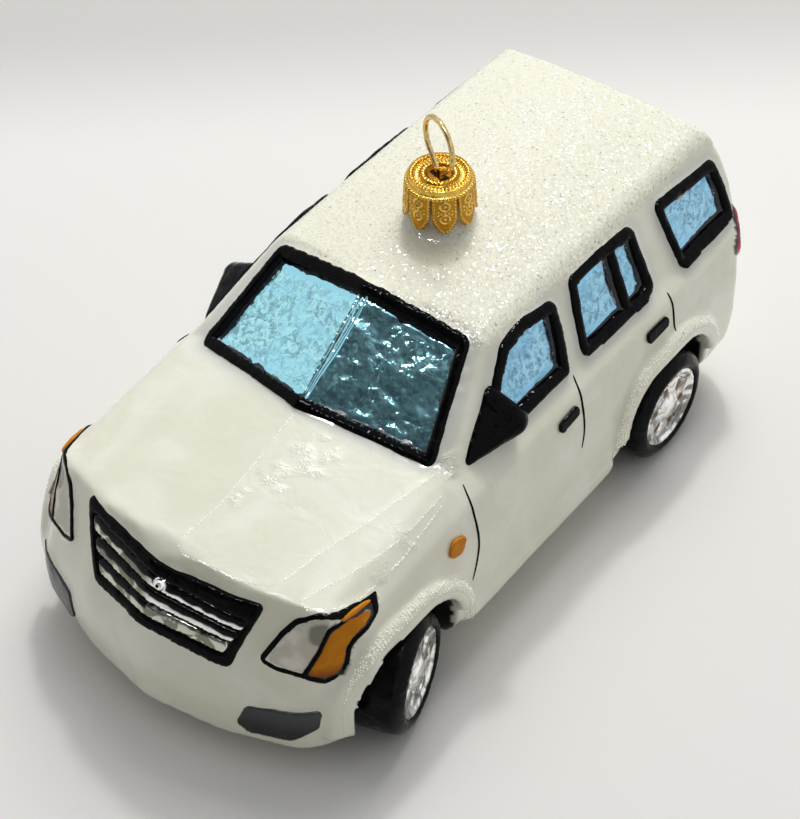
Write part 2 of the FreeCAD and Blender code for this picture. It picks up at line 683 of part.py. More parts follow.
def bend(before, corner, after, radius):
    """The arc that rounds one corner of a path, as its start, middle and end."""
    u, v = (before - corner).normalize(), (after - corner).normalize()
    half = u.getAngle(v) / 2
    run = radius / math.tan(half)
    middle = (u + v).normalize() * (radius / math.sin(half) - radius)
    return corner + u * run, corner + middle, corner + v * run


foot = Vector(spread_half, 0, foot_z)
knee = Vector(leg_half, 0, knee_z)
entry = Vector(leg_half, 0, entry_z)
knee_bend = bend(foot, knee, entry, 2.0)
entry_bend = bend(knee, entry, touch, 0.75)


def flip(point):
    """The same point on the loop's other leg."""
    return Vector(-point.x, point.y, point.z)


right_leg = [
    Part.makeLine(foot, knee_bend[0]), Part.Arc(*knee_bend).toShape(),
    Part.makeLine(knee_bend[2], entry_bend[0]), Part.Arc(*entry_bend).toShape(),
    Part.makeLine(entry_bend[2], touch)]
crown = Part.Arc(touch, Vector(0, 0, loop_z + loop_radius), flip(touch)).toShape()
left_leg = [
    Part.makeLine(flip(touch), flip(entry_bend[2])),
    Part.Arc(flip(entry_bend[2]), flip(entry_bend[1]), flip(entry_bend[0])).toShape(),
    Part.makeLine(flip(entry_bend[0]), flip(knee_bend[2])),
    Part.Arc(flip(knee_bend[2]), flip(knee_bend[1]), flip(knee_bend[0])).toShape(),
    Part.makeLine(flip(knee_bend[0]), flip(foot))]
path = Part.Wire(right_leg + [crown] + left_leg)
wire_end = Part.Wire(Part.makeCircle(wire_radius, foot, knee_bend[0] - foot))
hanger = path.makePipeShell([wire_end], True, False)
hanger.rotate(Vector(0, 0, 0), Vector(0, 0, 1), loop_turn)
save("hanger", hanger.translated(Vector(0, cap_y, 0)))
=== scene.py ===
import math
import random

import bmesh
import bpy
from bpy.props import FloatProperty, FloatVectorProperty, IntProperty, PointerProperty
from mathutils import Matrix, Vector, noise
from mathutils.bvhtree import BVHTree


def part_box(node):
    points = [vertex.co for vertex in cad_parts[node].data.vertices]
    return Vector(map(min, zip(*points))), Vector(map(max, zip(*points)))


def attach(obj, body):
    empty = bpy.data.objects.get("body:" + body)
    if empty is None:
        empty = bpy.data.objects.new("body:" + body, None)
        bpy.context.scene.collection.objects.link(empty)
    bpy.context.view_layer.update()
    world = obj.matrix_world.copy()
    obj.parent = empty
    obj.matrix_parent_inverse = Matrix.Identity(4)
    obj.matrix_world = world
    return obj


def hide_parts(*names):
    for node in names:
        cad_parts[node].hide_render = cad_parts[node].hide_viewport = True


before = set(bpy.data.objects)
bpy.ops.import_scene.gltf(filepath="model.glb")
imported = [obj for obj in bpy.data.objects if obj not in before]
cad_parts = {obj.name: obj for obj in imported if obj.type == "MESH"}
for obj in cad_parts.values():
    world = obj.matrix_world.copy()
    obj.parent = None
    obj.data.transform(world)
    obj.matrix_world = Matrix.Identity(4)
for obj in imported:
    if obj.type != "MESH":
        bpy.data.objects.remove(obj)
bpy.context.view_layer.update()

bl_info = {
    "name": "Glass car ornament",
    "version": (1, 0, 0),
    "blender": (4, 5, 0),
    "location": "3D View > Sidebar > Ornament",
    "description": "Blown, silvered and painted glass round the pieces of the ornament",
    "category": "Object",
}

MM = 0.001
CAR = "car"
CAP = "cap_and_ring"
SIDES = {"left": 1, "right": -1}


def node_box(node):
    """The lowest and highest corner of a node, in millimetres."""
    low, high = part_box(node)
    return low / MM, high / MM


def both(*names):
    """The left and right nodes of each name."""
    return [f"{name}_{side}" for name in names for side in SIDES]


# Where the cap stands, in millimetres, read from its node

cap_low, cap_high = node_box("cap")
CAP_AXIS = Vector(((cap_low.x + cap_high.x) / 2, (cap_low.y + cap_high.y) / 2, 0))
CAP_BOTTOM, CAP_TOP = cap_low.z, cap_high.z


# Sizes and colours that a user would change

def colour(name, description, value):
    """A colour property without alpha."""
    return FloatVectorProperty(name=name, description=description, subtype="COLOR", size=3,
                               min=0.0, max=1.0, default=value)


def number(name, description, value, unit="NONE", low=0.0):
    """A number property that isn't below low."""
    return FloatProperty(name=name, description=description, default=value, min=low, unit=unit)


class GlassSettings(bpy.types.PropertyGroup):
    """How the blown body, its enamel and its silvering look."""

    pearl: colour("Pearl", "Pearl-white lacquer of the body", (0.79, 0.77, 0.615))
    milk: colour("Milk", "Paler clouds in the pearl lacquer", (0.86, 0.85, 0.72))
    # Cool is a greyer tone of the body near the window frames, above the belt
    cool: colour("Cool", "Thin grey lacquer beside the windows", (0.62, 0.64, 0.60))
    frost: colour("Frost", "Glittered roof", (0.85, 0.83, 0.68))
    pane: colour("Pane", "Blue lacquer over the silvered side windows", (0.27, 0.60, 0.86))
    screen: colour("Screen", "Blue lacquer over the silvered windscreen", (0.36, 0.78, 0.92))
    enamel: colour("Enamel", "Black enamel of the drawn lines", (0.002, 0.002, 0.0025))
    amber: colour("Amber", "Turn lamps and side markers", (0.60, 0.20, 0.004))
    red: colour("Red", "Tail lamps", (0.38, 0.02, 0.05))
    voxel: number("Grain of the form", "Mesh size of the blown body in millimetres", 0.57)
    ripple: number("Ripple", "Height of the waves in the blown glass in millimetres", 0.10)
    line_radius: number("Drawn line", "Half width of the drawn door lines in millimetres", 0.2)
    flakes: IntProperty(name="Flakes", description="Loose glitter flakes on the body", default=1700, min=0)
    lip_beads: IntProperty(name="Lip beads", description="Sugar beads on the arch lips", default=4200, min=0)
    flake: number("Flake", "Width of a glitter flake in millimetres", 0.2)
    bead_step: number("Bead step", "Distance between the sugar beads on the creases in millimetres", 0.42)


class CapSettings(bpy.types.PropertyGroup):
    """The gold crown cap and its ring."""

    gold: colour("Gold", "Gold of the pressed cap", (0.88, 0.56, 0.11))
    wire: colour("Wire", "Gold of the wire ring", (0.76, 0.57, 0.24))
    petals: IntProperty(name="Petals", description="Points round the crown", default=8, min=3)
    grain: number("Grain of the cap", "Mesh size of the pressed cap in millimetres", 0.11)
    emboss: number("Emboss", "Height of the pressed relief in millimetres", 0.16)


class StageSettings(bpy.types.PropertyGroup):
    """Floor, light and camera."""

    floor: colour("Floor", "Pale studio floor", (0.795, 0.78, 0.745))
    lens: number("Lens", "Focal length of the camera", 87.91, "CAMERA", 1.0)
    soft: number("Softbox", "Power of the wide softbox", 4.0, "POWER")
    spark: number("Spark", "Power of the small bright lamp", 1.8, "POWER")
    glint: number("Glint", "Power of the lamps that only the gloss shows", 4.0, "POWER")


# Shader expressions

class Socket:
    """One output of a shader node, for use in Python expressions."""

    def __init__(self, finish, socket):
        self.finish = finish
        self.socket = socket

    def maths(self, operation, first, second):
        """A maths node on two values."""
        return self.finish.node("ShaderNodeMath", {"operation": operation}, {0: first, 1: second})

    def __add__(self, other):
        return self.maths("ADD", self, other)

    def __radd__(self, other):
        return self.maths("ADD", other, self)

    def __sub__(self, other):
        return self.maths("SUBTRACT", self, other)

    def __rsub__(self, other):
        return self.maths("SUBTRACT", other, self)

    def __mul__(self, other):
        return self.maths("MULTIPLY", self, other)

    def __rmul__(self, other):
        return self.maths("MULTIPLY", other, self)

    def __abs__(self):
        return self.maths("ABSOLUTE", self, 0.0)

    def top(self, other):
        """The larger of two values."""
        return self.maths("MAXIMUM", self, other)


class Graph:
    """A node tree made from expressions."""

    def __init__(self, tree):
        self.tree = tree

    def feed(self, socket, value):
        """Links a socket to an expression, or sets its constant."""
        if isinstance(value, Socket):
            self.tree.links.new(value.socket, socket)
        elif socket.type == "RGBA" and len(value) == 3:
            socket.default_value = (*value, 1.0)
        else:
            socket.default_value = value

    def node(self, kind, settings=None, inputs=None, output=0):
        """Any node: its settings first, then the values or links of its sockets."""
        made = self.tree.nodes.new(kind)
        for key, value in (settings or {}).items():
            setattr(made, key, value)
        for key, value in (inputs or {}).items():
            self.feed(made.inputs[key], value)
        return Socket(self, made.outputs[output])

    def vector(self, operation, first, second, output=0):
        """Vector maths."""
        return self.node("ShaderNodeVectorMath", {"operation": operation}, {0: first, 1: second}, output)

    def spread(self, value, low, high, to_low=0.0, to_high=1.0):
        """A value between low and high, stretched smoothly to another span."""
        return self.node("ShaderNodeMapRange", {"interpolation_type": "SMOOTHSTEP"}, {
            "Value": value, "From Min": low, "From Max": high, "To Min": to_low, "To Max": to_high})

    def blend(self, factor, first, second):
        """A colour between two colours."""
        return self.node("ShaderNodeMix", {"data_type": "RGBA"}, {0: factor, 6: first, 7: second}, 2)


class Finish(Graph):
    """A material made from node expressions."""

    def __init__(self, name):
        self.material = bpy.data.materials.new(name)
        self.material.use_nodes = True
        super().__init__(self.material.node_tree)
        self.surface = self.tree.nodes["Principled BSDF"]
        self.place = self.node("ShaderNodeTexCoord", output="Object")

    def noise(self, scale, detail=3.0, roughness=0.5, distortion=0.0):
        """Soft noise with features of about 1 / scale metres."""
        return self.node("ShaderNodeTexNoise", None, {
            "Vector": self.place, "Scale": scale, "Detail": detail, "Roughness": roughness,
            "Distortion": distortion})

    def cells(self, scale):
        """A random colour for each cell of about 1 / scale metres, as glitter has."""
        return self.node("ShaderNodeTexVoronoi", None, {"Vector": self.place, "Scale": scale}, "Color")

    def channel(self, shade, name):
        """One channel of a colour, as a value."""
        return self.node("ShaderNodeSeparateColor", None, {"Color": shade}, name)

    def along(self, axis):
        """A place's X, Y or Z, in millimetres."""
        return self.node("ShaderNodeSeparateXYZ", None, {"Vector": self.place}, axis) * (1 / MM)

    def attribute(self, name):
        """A value that the mesh carries."""
        return self.node("ShaderNodeAttribute", {"attribute_name": name}, None, "Fac")

    def bump(self, height, distance, strength, normal=None):
        """Relief of a height between 0 and 1, over distance in metres."""
        inputs = {"Height": height, "Distance": distance, "Strength": strength}
        if normal:
            inputs["Normal"] = normal
        return self.node("ShaderNodeBump", None, inputs)

    def set(self, **sockets):
        """Feeds the Principled sockets; underscores stand for spaces."""
        for key, value in sockets.items():
            self.feed(self.surface.inputs[key.replace("_", " ")], value)
        return self.material


def pearl_finish(glass):
    """Milky pearl lacquer; the mesh says where glitter, black enamel, a greyer tone near the window frames
    and crinkles lie.
    """
    finish = Finish("pearl_enamel")
    frost, black, cool, crinkle = (finish.attribute(name) for name in BODY_MARKS)
    clouds = finish.spread(finish.noise(70.0, 4.0, 0.55, 1.2), 0.35, 0.7)
    lacquer = finish.blend(clouds, glass.pearl, glass.milk)
    lacquer = finish.blend(cool, lacquer, glass.cool)
    grains = finish.cells(3400.0)
    speck = finish.spread(finish.channel(grains, "Blue"), 0.0, 0.025)
    frosted = finish.blend(speck, (0.48, 0.48, 0.43), glass.frost)
    base = finish.blend(black, finish.blend(frost, lacquer, frosted), glass.enamel)
    ripple = finish.bump(finish.noise(160.0, 3.0, 0.5, 0.6), 0.0009, 0.2)
    crackle = finish.bump(finish.noise(1100.0, 2.0, 0.6, 1.8) * crinkle, 0.0004, 0.45, ripple)
    tilt = finish.vector("SUBTRACT", grains, (0.5, 0.5, 0.5))
    tilt = finish.node("ShaderNodeVectorMath", {"operation": "SCALE"}, {0: tilt, "Scale": frost * 0.4})
    facets = finish.vector("ADD", crackle, tilt)
    broken = frost.top(crinkle)
    return finish.set(
        Base_Color=base, Roughness=finish.spread(broken, 0.0, 1.0, 0.3, 0.12), Specular_IOR_Level=0.5,
        Coat_Weight=1.0 - broken.top(black), Coat_Roughness=0.05,
        Normal=finish.vector("NORMALIZE", facets, (0.0, 0.0, 0.0)))


def flake_finish():
    """Clear glitter film."""
    finish = Finish("glitter_film")
    tint = finish.cells(900.0)
    return finish.set(
        Base_Color=finish.blend(finish.channel(tint, "Red"), (0.95, 0.94, 0.84), (0.90, 0.92, 0.86)),
        Roughness=0.12)


def sugar_finish():
    """White glitter paste in raised dots that glow with a painted glint, brighter along the creases than on
    the arch lips.
    """
    finish = Finish("glitter_paste")
    on_crease = finish.spread(finish.along("Z"), *LIPS_TO_CREASES)
    # Painted glint: the emission makes every bead glow white though it is no lamp, more on the creases.
    glow = finish.blend(on_crease, (0.18, 0.176, 0.165), (0.45, 0.44, 0.41))
    return finish.set(
        Base_Color=finish.blend(finish.noise(3000.0), (0.90, 0.89, 0.82), (0.98, 0.97, 0.93)), Roughness=0.2,
        Emission_Color=glow, Emission_Strength=1.0)


def pane_finish(name, tint):
    """Blue lacquer over crinkled silvering; the mesh gives the field inside the smooth border."""
    finish = Finish(name)
    field = finish.attribute("field")
    warp = finish.noise(110.0, 0.5, 0.5, 1.0)
    crinkle = finish.noise(1000.0, 4.0, 0.68, 0.7)
    patches = finish.spread(finish.noise(150.0, 2.0, 0.5, 1.0), 0.38, 0.56)
    deep = tuple(0.42 * channel for channel in tint)
    pale = tuple(min(1.0, 1.1 * channel + 0.12) for channel in tint)
    foil = finish.blend(finish.spread(crinkle, 0.36, 0.60), deep, pale)
    base = finish.blend(field * (patches * 0.45 + 0.35), tint, foil)
    seams = finish.spread(abs(warp - 0.47), 0.0, 0.006)
    height = warp * 0.3 + crinkle * (patches * 0.7 + 0.3) * field * 0.13
    return finish.set(
        Base_Color=finish.blend(seams * 0.6 + 0.4, deep, base), Metallic=0.95, Roughness=0.1,
        Coat_Weight=0.5, Coat_Roughness=0.03, Normal=finish.bump(height, 0.0012, 0.5))


def enamel_finish(name, shade, second, gloss, shine, coat=0.0, foot=None):
    """Brushed-on glossy enamel in two shades, with a darker foot on the turn lamps if one is given."""
    finish = Finish(name)
    strokes = finish.noise(320.0, 2.0, 0.5, 0.8)
    base = finish.blend(finish.spread(strokes, 0.42, 0.72), shade, second)
    if foot:
        low = node_box("turn_lamp_left")[0].z
        above = finish.spread(finish.along("Z") + strokes * 1.5, low + 0.6, low + 3.4)
        base = finish.blend(above, foot, base)
    return finish.set(
        Base_Color=base, Roughness=gloss, Specular_IOR_Level=shine, Coat_Weight=coat, Coat_Roughness=0.03,
        Normal=finish.bump(strokes, 0.0005, 0.4))


def lamp_finish():
    """Thin clear lacquer with a darker fan beside the divider, alike on both sides."""
    finish = Finish("clear_lamp_enamel")
    folded = finish.vector("ABSOLUTE", finish.place, (0.0, 0.0, 0.0))
    reach = finish.vector("DISTANCE", folded, FAN_CENTRE * MM, "Value")
    fan = finish.spread(reach + finish.noise(500.0) * 0.0008, 0.0026, 0.0018)
    milky = finish.spread(finish.noise(260.0, 2.0), 0.4, 0.65)
    cloud = finish.blend(milky, (0.60, 0.56, 0.46), (0.78, 0.74, 0.64))
    return finish.set(
        Base_Color=finish.blend(fan, cloud, (0.22, 0.215, 0.165)), Roughness=0.16, Specular_IOR_Level=0.4,
        Coat_Weight=0.4, Coat_Roughness=0.03)


def smoke_finish():
    """Grey enamel that darkens downwards."""
    finish = Finish("smoke_enamel")
    low, high = node_box("fog_lamp_left")
    drop = finish.spread(finish.along("Z") + finish.noise(300.0) * 1.6, low.z + 1.2, high.z + 0.4)
    return finish.set(
        Base_Color=finish.blend(drop, (0.005, 0.005, 0.006), (0.055, 0.058, 0.062)), Roughness=0.22,
        Specular_IOR_Level=0.2, Coat_Weight=0.1, Coat_Roughness=0.05,
        Normal=finish.bump(finish.noise(420.0), 0.0003, 0.5))


def silver_finish():
    """Silvered glass, duller to the right and on the lowest bar with a painted bright reflection on the rest,
    and black where the mesh says so, as enamel and painted dark reflection.
    """
    finish = Finish("silvering")
    wave = finish.noise(170.0, 2.0, 0.5, 1.0)
    # Black where the bars' mark says so: enamel laps there, with painted dark reflection.
    ink = finish.attribute("ink")
    streaks = finish.spread(finish.noise(330.0, 1.0, 0.5, 1.5), 0.5, 0.6)
    dull = finish.blend(streaks, (0.22, 0.22, 0.18), (0.62, 0.62, 0.54))
    # Painted highlight: the left half (+X) of the bars above the lowest bar is painted bright, as a
    # reflection would light it.
    bright = finish.spread(finish.along("X"), -2.0, 1.0) * finish.spread(finish.along("Z"), 23.0, 23.8)
    base = finish.blend(bright, dull, (0.93, 0.93, 0.90))
    return finish.set(
        Base_Color=finish.blend(ink, base, (0.003, 0.003, 0.004)), Metallic=1.0 - ink, Roughness=0.06,
        Specular_IOR_Level=0.13, Normal=finish.bump(wave, 0.0010, 0.3))


def rim_finish():
    """Silvered rim with brown lacquer in the windows, where the mesh says so, and painted dark reflection in
    its folds.
    """
    finish = Finish("rim_silvering_and_painted_reflection")
    wave = finish.noise(260.0, 2.0, 0.5, 1.0)
    pit = finish.attribute("pit")
    # Painted reflection: dark patches in the silver stand in for the dark that its folds would reflect.
    folds_and_painted_reflection = finish.spread(finish.noise(330.0, 2.0, 0.5, 1.0), 0.38, 0.56)
    silver = finish.blend(folds_and_painted_reflection, (0.24, 0.235, 0.215), (0.95, 0.95, 0.93))
    return finish.set(
        Base_Color=finish.blend(pit, silver, (0.17, 0.085, 0.015)), Metallic=1.0,
        Roughness=finish.spread(pit, 0.0, 1.0, 0.07, 0.3), Normal=finish.bump(wave, 0.0006, 0.45))


def gold_finish(name, shade, gloss, pressed=False):
    """Gold-coloured metal with fine wear, dark in the hollows of its relief if it is pressed."""
    finish = Finish(name)
    wear = finish.noise(1500.0, 4.0, 0.6)
    dark = tuple(channel * 0.62 for channel in shade)
    base = finish.blend(finish.spread(wear, 0.3, 0.62), dark, shade)
    if pressed:
        crest = finish.spread(finish.attribute("relief"), 0.05, 0.55)
        base = finish.blend(crest, (0.42, 0.20, 0.02), base)
    return finish.set(
        Base_Color=base, Metallic=1.0,
        Roughness=finish.spread(wear, 0.3, 0.7, gloss + 0.08, gloss), Normal=finish.bump(wear, 0.00005, 0.4))


# Shapes

def placed(name, data):
    """A new object in the scene."""
    obj = bpy.data.objects.new(name, data)
    bpy.context.scene.collection.objects.link(obj)
    return obj


def evaluated(obj):
    """The mesh that an object shows, with its modifiers applied; the object goes."""
    depsgraph = bpy.context.evaluated_depsgraph_get()
    mesh = bpy.data.meshes.new_from_object(obj.evaluated_get(depsgraph))
    old = obj.data
    bpy.data.objects.remove(obj)
    if old.users == 0 and isinstance(old, bpy.types.Mesh):
        bpy.data.meshes.remove(old)
    return mesh


def copies(nodes):
    """Merged copies of CAD nodes in one bmesh, in millimetres."""
    bm = bmesh.new()
    for node in nodes:
        bm.from_mesh(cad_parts[node].data)
    bmesh.ops.remove_doubles(bm, verts=bm.verts, dist=1e-7)
    bmesh.ops.scale(bm, vec=(1 / MM,) * 3, verts=bm.verts)
    return bm


def soften(bm, voxel, smoothing, swell=0.0, wavelength=0.0, wave=0.0):
    """A bmesh of closed solids as one soft closed mesh, swollen and waved by some millimetres."""
    obj = placed("soft", from_bmesh(bm))
    remesh = obj.modifiers.new("Remesh", "REMESH")
    remesh.mode = "VOXEL"
    remesh.voxel_size = voxel
    smooth = obj.modifiers.new("Smooth", "SMOOTH")
    smooth.iterations = smoothing
    if swell:
        push = obj.modifiers.new("Swell", "DISPLACE")
        push.strength = swell
        push.mid_level = 0.0
    if wave:
        texture = bpy.data.textures.new("brush", "CLOUDS")
        texture.noise_scale = wavelength
        push = obj.modifiers.new("Wave", "DISPLACE")
        push.texture = texture
        push.strength = wave
    return evaluated(obj)


def as_bmesh(mesh):
    """A bmesh of a mesh; the mesh goes."""
    bm = bmesh.new()
    bm.from_mesh(mesh)
    bpy.data.meshes.remove(mesh)
    bm.normal_update()
    return bm


def keep_outer_skin(bm):
    """Deletes all but the island that reaches furthest."""
    left = set(bm.verts)
    islands = []
    while left:
        stack = [left.pop()]
        island = list(stack)
        while stack:
            vert = stack.pop()
            for edge in vert.link_edges:
                other = edge.other_vert(vert)
                if other in left:
                    left.remove(other)
                    stack.append(other)
                    island.append(other)
        islands.append(island)
    islands.sort(key=lambda island: max(vert.co.y for vert in island))
    spare = [vert for island in islands[:-1] for vert in island]
    bmesh.ops.delete(bm, geom=spare, context="VERTS")


def settle(name, mesh, finish, body, nodes=()):
    """Turns a mesh in millimetres into a finished piece that rides on its body."""
    mesh.transform(Matrix.Scale(MM, 4))
    mesh.name = name
    mesh.materials.clear()
    mesh.materials.append(finishes()[finish])
    mesh.shade_smooth()
    piece = placed(name, mesh)
    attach(piece, body)
    if nodes:
        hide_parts(*nodes)


def dress(nodes, prefix, grain, finish):
    """Puts a softened piece in place of each of the car's nodes."""
    for node in nodes:
        settle(f"{prefix}_{node}", soften(copies([node]), *GRAINS[grain]), finish, CAR, [node])


def from_bmesh(bm):
    """A new mesh from a bmesh."""
    mesh = bpy.data.meshes.new("piece")
    bm.to_mesh(mesh)
    bm.free()
    return mesh


def tree_of(nodes):
    """A search tree of CAD nodes, in millimetres."""
    bm = copies(nodes)
    tree = BVHTree.FromBMesh(bm)
    bm.free()
    return tree


def surface_of(name):
    """A search tree of a finished piece, in metres."""
    return BVHTree.FromObject(bpy.data.objects[name], bpy.context.evaluated_depsgraph_get())


def gap_to(tree, place, reach):
    """How far a place is from a search tree, at most reach."""
    found = tree.find_nearest(place, reach)[3]
    return reach if found is None else found


def mark(mesh, name, values):
    """Gives a mesh one value per vertex, for its finish."""
    mesh.attributes.new(name, "FLOAT", "POINT").data.foreach_set("value", values)


def smoothstep(low, high, value):
    """0 below low, 1 above high, soft between."""
    t = max(0.0, min(1.0, (value - low) / (high - low)))
    return t * t * (3 - 2 * t)


def swing(phase):
    """Rises and falls between 0 and 1."""
    return 0.5 + 0.5 * math.cos(phase)


def on_side(points, sign):
    """Points of the left-hand side, mirrored to the right if the sign is -1."""
    return [Vector((sign * x, y, z)) for x, y, z in points]


def jitter(dice, reach):
    """A random shift of up to reach along each axis."""
    return Vector([dice.uniform(-reach, reach) for _ in range(3)])


def spline_mesh(kind, places, radii, thickness=0.0):
    """The mesh of one spline: a bare line, or a tube if it has a thickness."""
    curve = bpy.data.curves.new("line", "CURVE")
    curve.dimensions = "3D"
    curve.bevel_depth = thickness
    curve.use_fill_caps = True
    spline = curve.splines.new(kind)
    spline.points.add(len(places) - 1)
    for point, place, radius in zip(spline.points, places, radii):
        point.co = (*place, 1.0)
        point.radius = radius
    spline.order_u = 3
    spline.use_endpoint_u = True
    spline.resolution_u = 12
    obj = placed("line", curve)
    bpy.context.view_layer.update()
    mesh = evaluated(obj)
    bpy.data.curves.remove(curve)
    return mesh


def drawn(points, surface, radius):
    """A tube with thin ends that lies half sunk in the surface."""
    run = spline_mesh("NURBS", points, [1.0] * len(points))
    places = [surface.find_nearest(vert.co * MM)[0] / MM for vert in run.vertices]
    bpy.data.meshes.remove(run)
    radii = []
    for index, place in enumerate(places):
        swelling = math.sin(math.pi * (index / (len(places) - 1))) ** 0.45
        radii.append(0.35 + 0.65 * swelling + 0.12 * noise.noise(place * 0.7))
    return spline_mesh("POLY", places, radii, radius)


class Polyline:
    """A drawn line on the body, for distances to it."""

    def __init__(self, points):
        self.points = [Vector(point) for point in points]
        self.runs = list(zip(self.points, self.points[1:]))

    def distance(self, place):
        """How far a place is from the line."""
        best = 1e9
        for start, end in self.runs:
            run = end - start
            t = max(0.0, min(1.0, (place - start).dot(run) / run.length_squared))
            best = min(best, (start + run * t - place).length)
        return best

    def walk(self, step):
        """Points along the line, a step apart."""
        for start, end in self.runs:
            steps = max(1, round((end - start).length / step))
            for i in range(steps):
                yield start.lerp(end, i / steps)

    def mirrored(self):
        """The same line on the other side of the car."""
        return Polyline(on_side(self.points, -1))


# Lines of the body on its left-hand side, and its crinkled places as centre and reach

HOOD_CREASE = [
    (0.5, -24.0, 34.7), (1.5, -32.5, 33.8), (2.2, -42.4, 32.7), (1.6, -48.6, 32.0), (1.9, -50.4, 31.4),
    (3.2, -51.0, 31.2), (7.0, -50.6, 31.4), (11.0, -49.9, 31.0), (15.0, -48.4, 30.5), (16.6, -46.9, 30.4),
    (17.3, -44.6, 30.5), (17.9, -41.0, 30.8), (19.3, -35.3, 31.3), (20.9, -28.6, 31.8), (22.5, -21.7, 32.3),
    (23.0, -18.5, 32.5)]
FENDER_CREASE = [
    (25.4, -21.5, 31.2), (25.3, -29.5, 30.5), (24.8, -33.3, 30.4), (23.5, -39.0, 30.2), (21.6, -44.3, 30.0),
    (20.9, -46.7, 29.8), (21.3, -47.4, 29.7), (22.3, -47.3, 29.5), (25.3, -44.5, 29.0), (26.3, -41.0, 28.6),
    (26.6, -37.5, 28.6), (26.8, -32.4, 28.9), (26.2, -22.0, 30.6)]
BEADED = [Polyline(HOOD_CREASE), Polyline(FENDER_CREASE)]
RIDGES = [Polyline(HOOD_CREASE[5:]).mirrored(), Polyline(FENDER_CREASE).mirrored()]
CRINKLED = [
    ((4.0, -39.5, 33.0), 2.4), ((5.4, -34.0, 33.4), 3.6), ((7.4, -27.8, 33.9), 5.0),
    ((26.0, -36.0, 29.5), 2.6), ((25.7, -29.0, 30.2), 3.2), ((23.6, -17.5, 32.8), 3.2),
    ((18.0, -3.0, 43.8), 3.0)]
KEEL = [
    (1.0, -5.6, 45.4), (1.0, -9.0, 43.3), (0.9, -13.9, 39.9), (0.5, -16.6, 38.1), (0.4, -19.2, 36.6),
    (0.6, -22.4, 34.9)]
AMBER_STRIP = [(26.4, -45.1, 28.1), (26.8, -43.5, 28.3), (27.0, -41.9, 28.3), (27.3, -40.1, 28.1)]
KEEL_RADIUS, AMBER_RADIUS = 0.34, 0.42
DOOR_LINES = [
    [(26.3, -17.3, 30.8), (28.2, -18.2, 28.5), (29.5, -18.1, 23.9), (30.1, -19.0, 18.4), (30.3, -20.4, 15.3)],
    [(26.4, 10.3, 30.7), (28.3, 9.4, 28.3), (29.5, 9.2, 23.8), (30.1, 7.9, 19.1)],
    [(27.3, 35.0, 29.7), (28.8, 35.0, 26.8), (29.7, 34.0, 23.0)]]

# Small forms; the fan in the lamps has its place without signs, for both of them

FAN_CENTRE = Vector((24.9, 47.7, 26.3))
PLUG_RADIUS, PLUG_DEPTH, PLUG_DROP = 3.3, 3.0, 1.0
BOSS = Vector((1.4, -54.5, 26.9))
BOSS_REACH, BOSS_LEAN = 1.1, math.radians(68)
# How far up each bar the black of enamel and painted dark reflection starts, on the left and on the right
BARS, BAR_DARK_STARTS, RIGHT_DARK_START = 3, (0.9, 0.5, 0.45), 0.58
GRILLE_LOW = [(-10.1, 21.8), (0.0, 21.6), (12.9, 20.9)]
GRILLE_HIGH = [(-14.4, 28.9), (0.0, 27.9), (15.5, 26.6)]
MIRROR_BALLS = [
    ((24.7, -14.3, 32.1), 0.7), ((22.4, -5.7, 37.4), 1.2), ((26.6, -5.3, 34.0), 2.1),
    ((25.2, -5.4, 33.4), 2.2)]
MARKER_Y, MARKER_Z = -23.1, 24.6
LEAN_COS, LEAN_SIN = 0.958, 0.287
PANE_BORDER, CALM_SHARE = (0.9, 1.6), 0.6

# How pieces are softened: voxel, smoothing steps, swelling, and the length and height of the waves

GRAINS = {
    "line": (0.22, 9, 0.34, 4.0, 0.3), "outline": (0.14, 2, 0.07, 1.6, 0.08),
    "pane": (0.3, 1, 0.12, 3.2, 0.3), "lamp": (0.2, 2, 0.12, 2.0, 0.12), "marker": (0.12, 2, 0.06),
    "bar": (0.16, 7, 0.24, 3.0, 0.08), "mirror": (0.22, 4, 0.08, 4.0, 0.5), "handle": (0.12, 2, 0.08),
    "tyre": (0.35, 4, 0.1, 3.0, 0.2), "rim": (0.15, 5, 0.08, 1.5, 0.16)}

# Groups of nodes, and the marks that the body's mesh carries

FRAMES = [
    "windscreen_frame", "rear_glass_frame",
    *both("front_door_frame", "rear_door_frame", "quarter_frame")]
PANES = ["rear_glass", *both("windscreen", "front_door_glass", "rear_door_glass", "quarter_glass")]
FILLED = [
    "body_shell", "grille_surround", *FRAMES, *PANES,
    *both("headlamp", "turn_lamp", "headlamp_outline", "fog_lamp", "tail_lamp")]
BODY_MARKS = ("glitter", "black", "cool", "crinkle")

# The body is black where it is nearer than a row's reach to all of the row's groups

BLACK_BANDS = [
    (1.1, [FRAMES, PANES]), (0.6, [both("headlamp_outline"), both("turn_lamp")]),
    (1.0, [["windscreen_left"], ["windscreen_right"]]), (0.75, [both("tail_lamp")])]

# Where the body's other marks begin and end, in millimetres

COOL_REACH, COOL_FULL, COOL_SHARE = 3.2, 0.4, 0.6
BELT = (27.0, 30.0)
ROOF_EDGE, REAR_ROOF_EDGE = (43.0, 44.6), (41.6, 43.2)
LIP_FOOT, LIP_TOP, LIPS_TO_CREASES = 8.0, 36.0, (26.5, 28.5)
HOOD_END, HOOD_LOW, HOOD_MIDDLE = -18.0, 26.0, -1.5
CREASE_HEIGHT = 0.22

# The wheel openings, the front pair's turn, and the brown pits in the rims

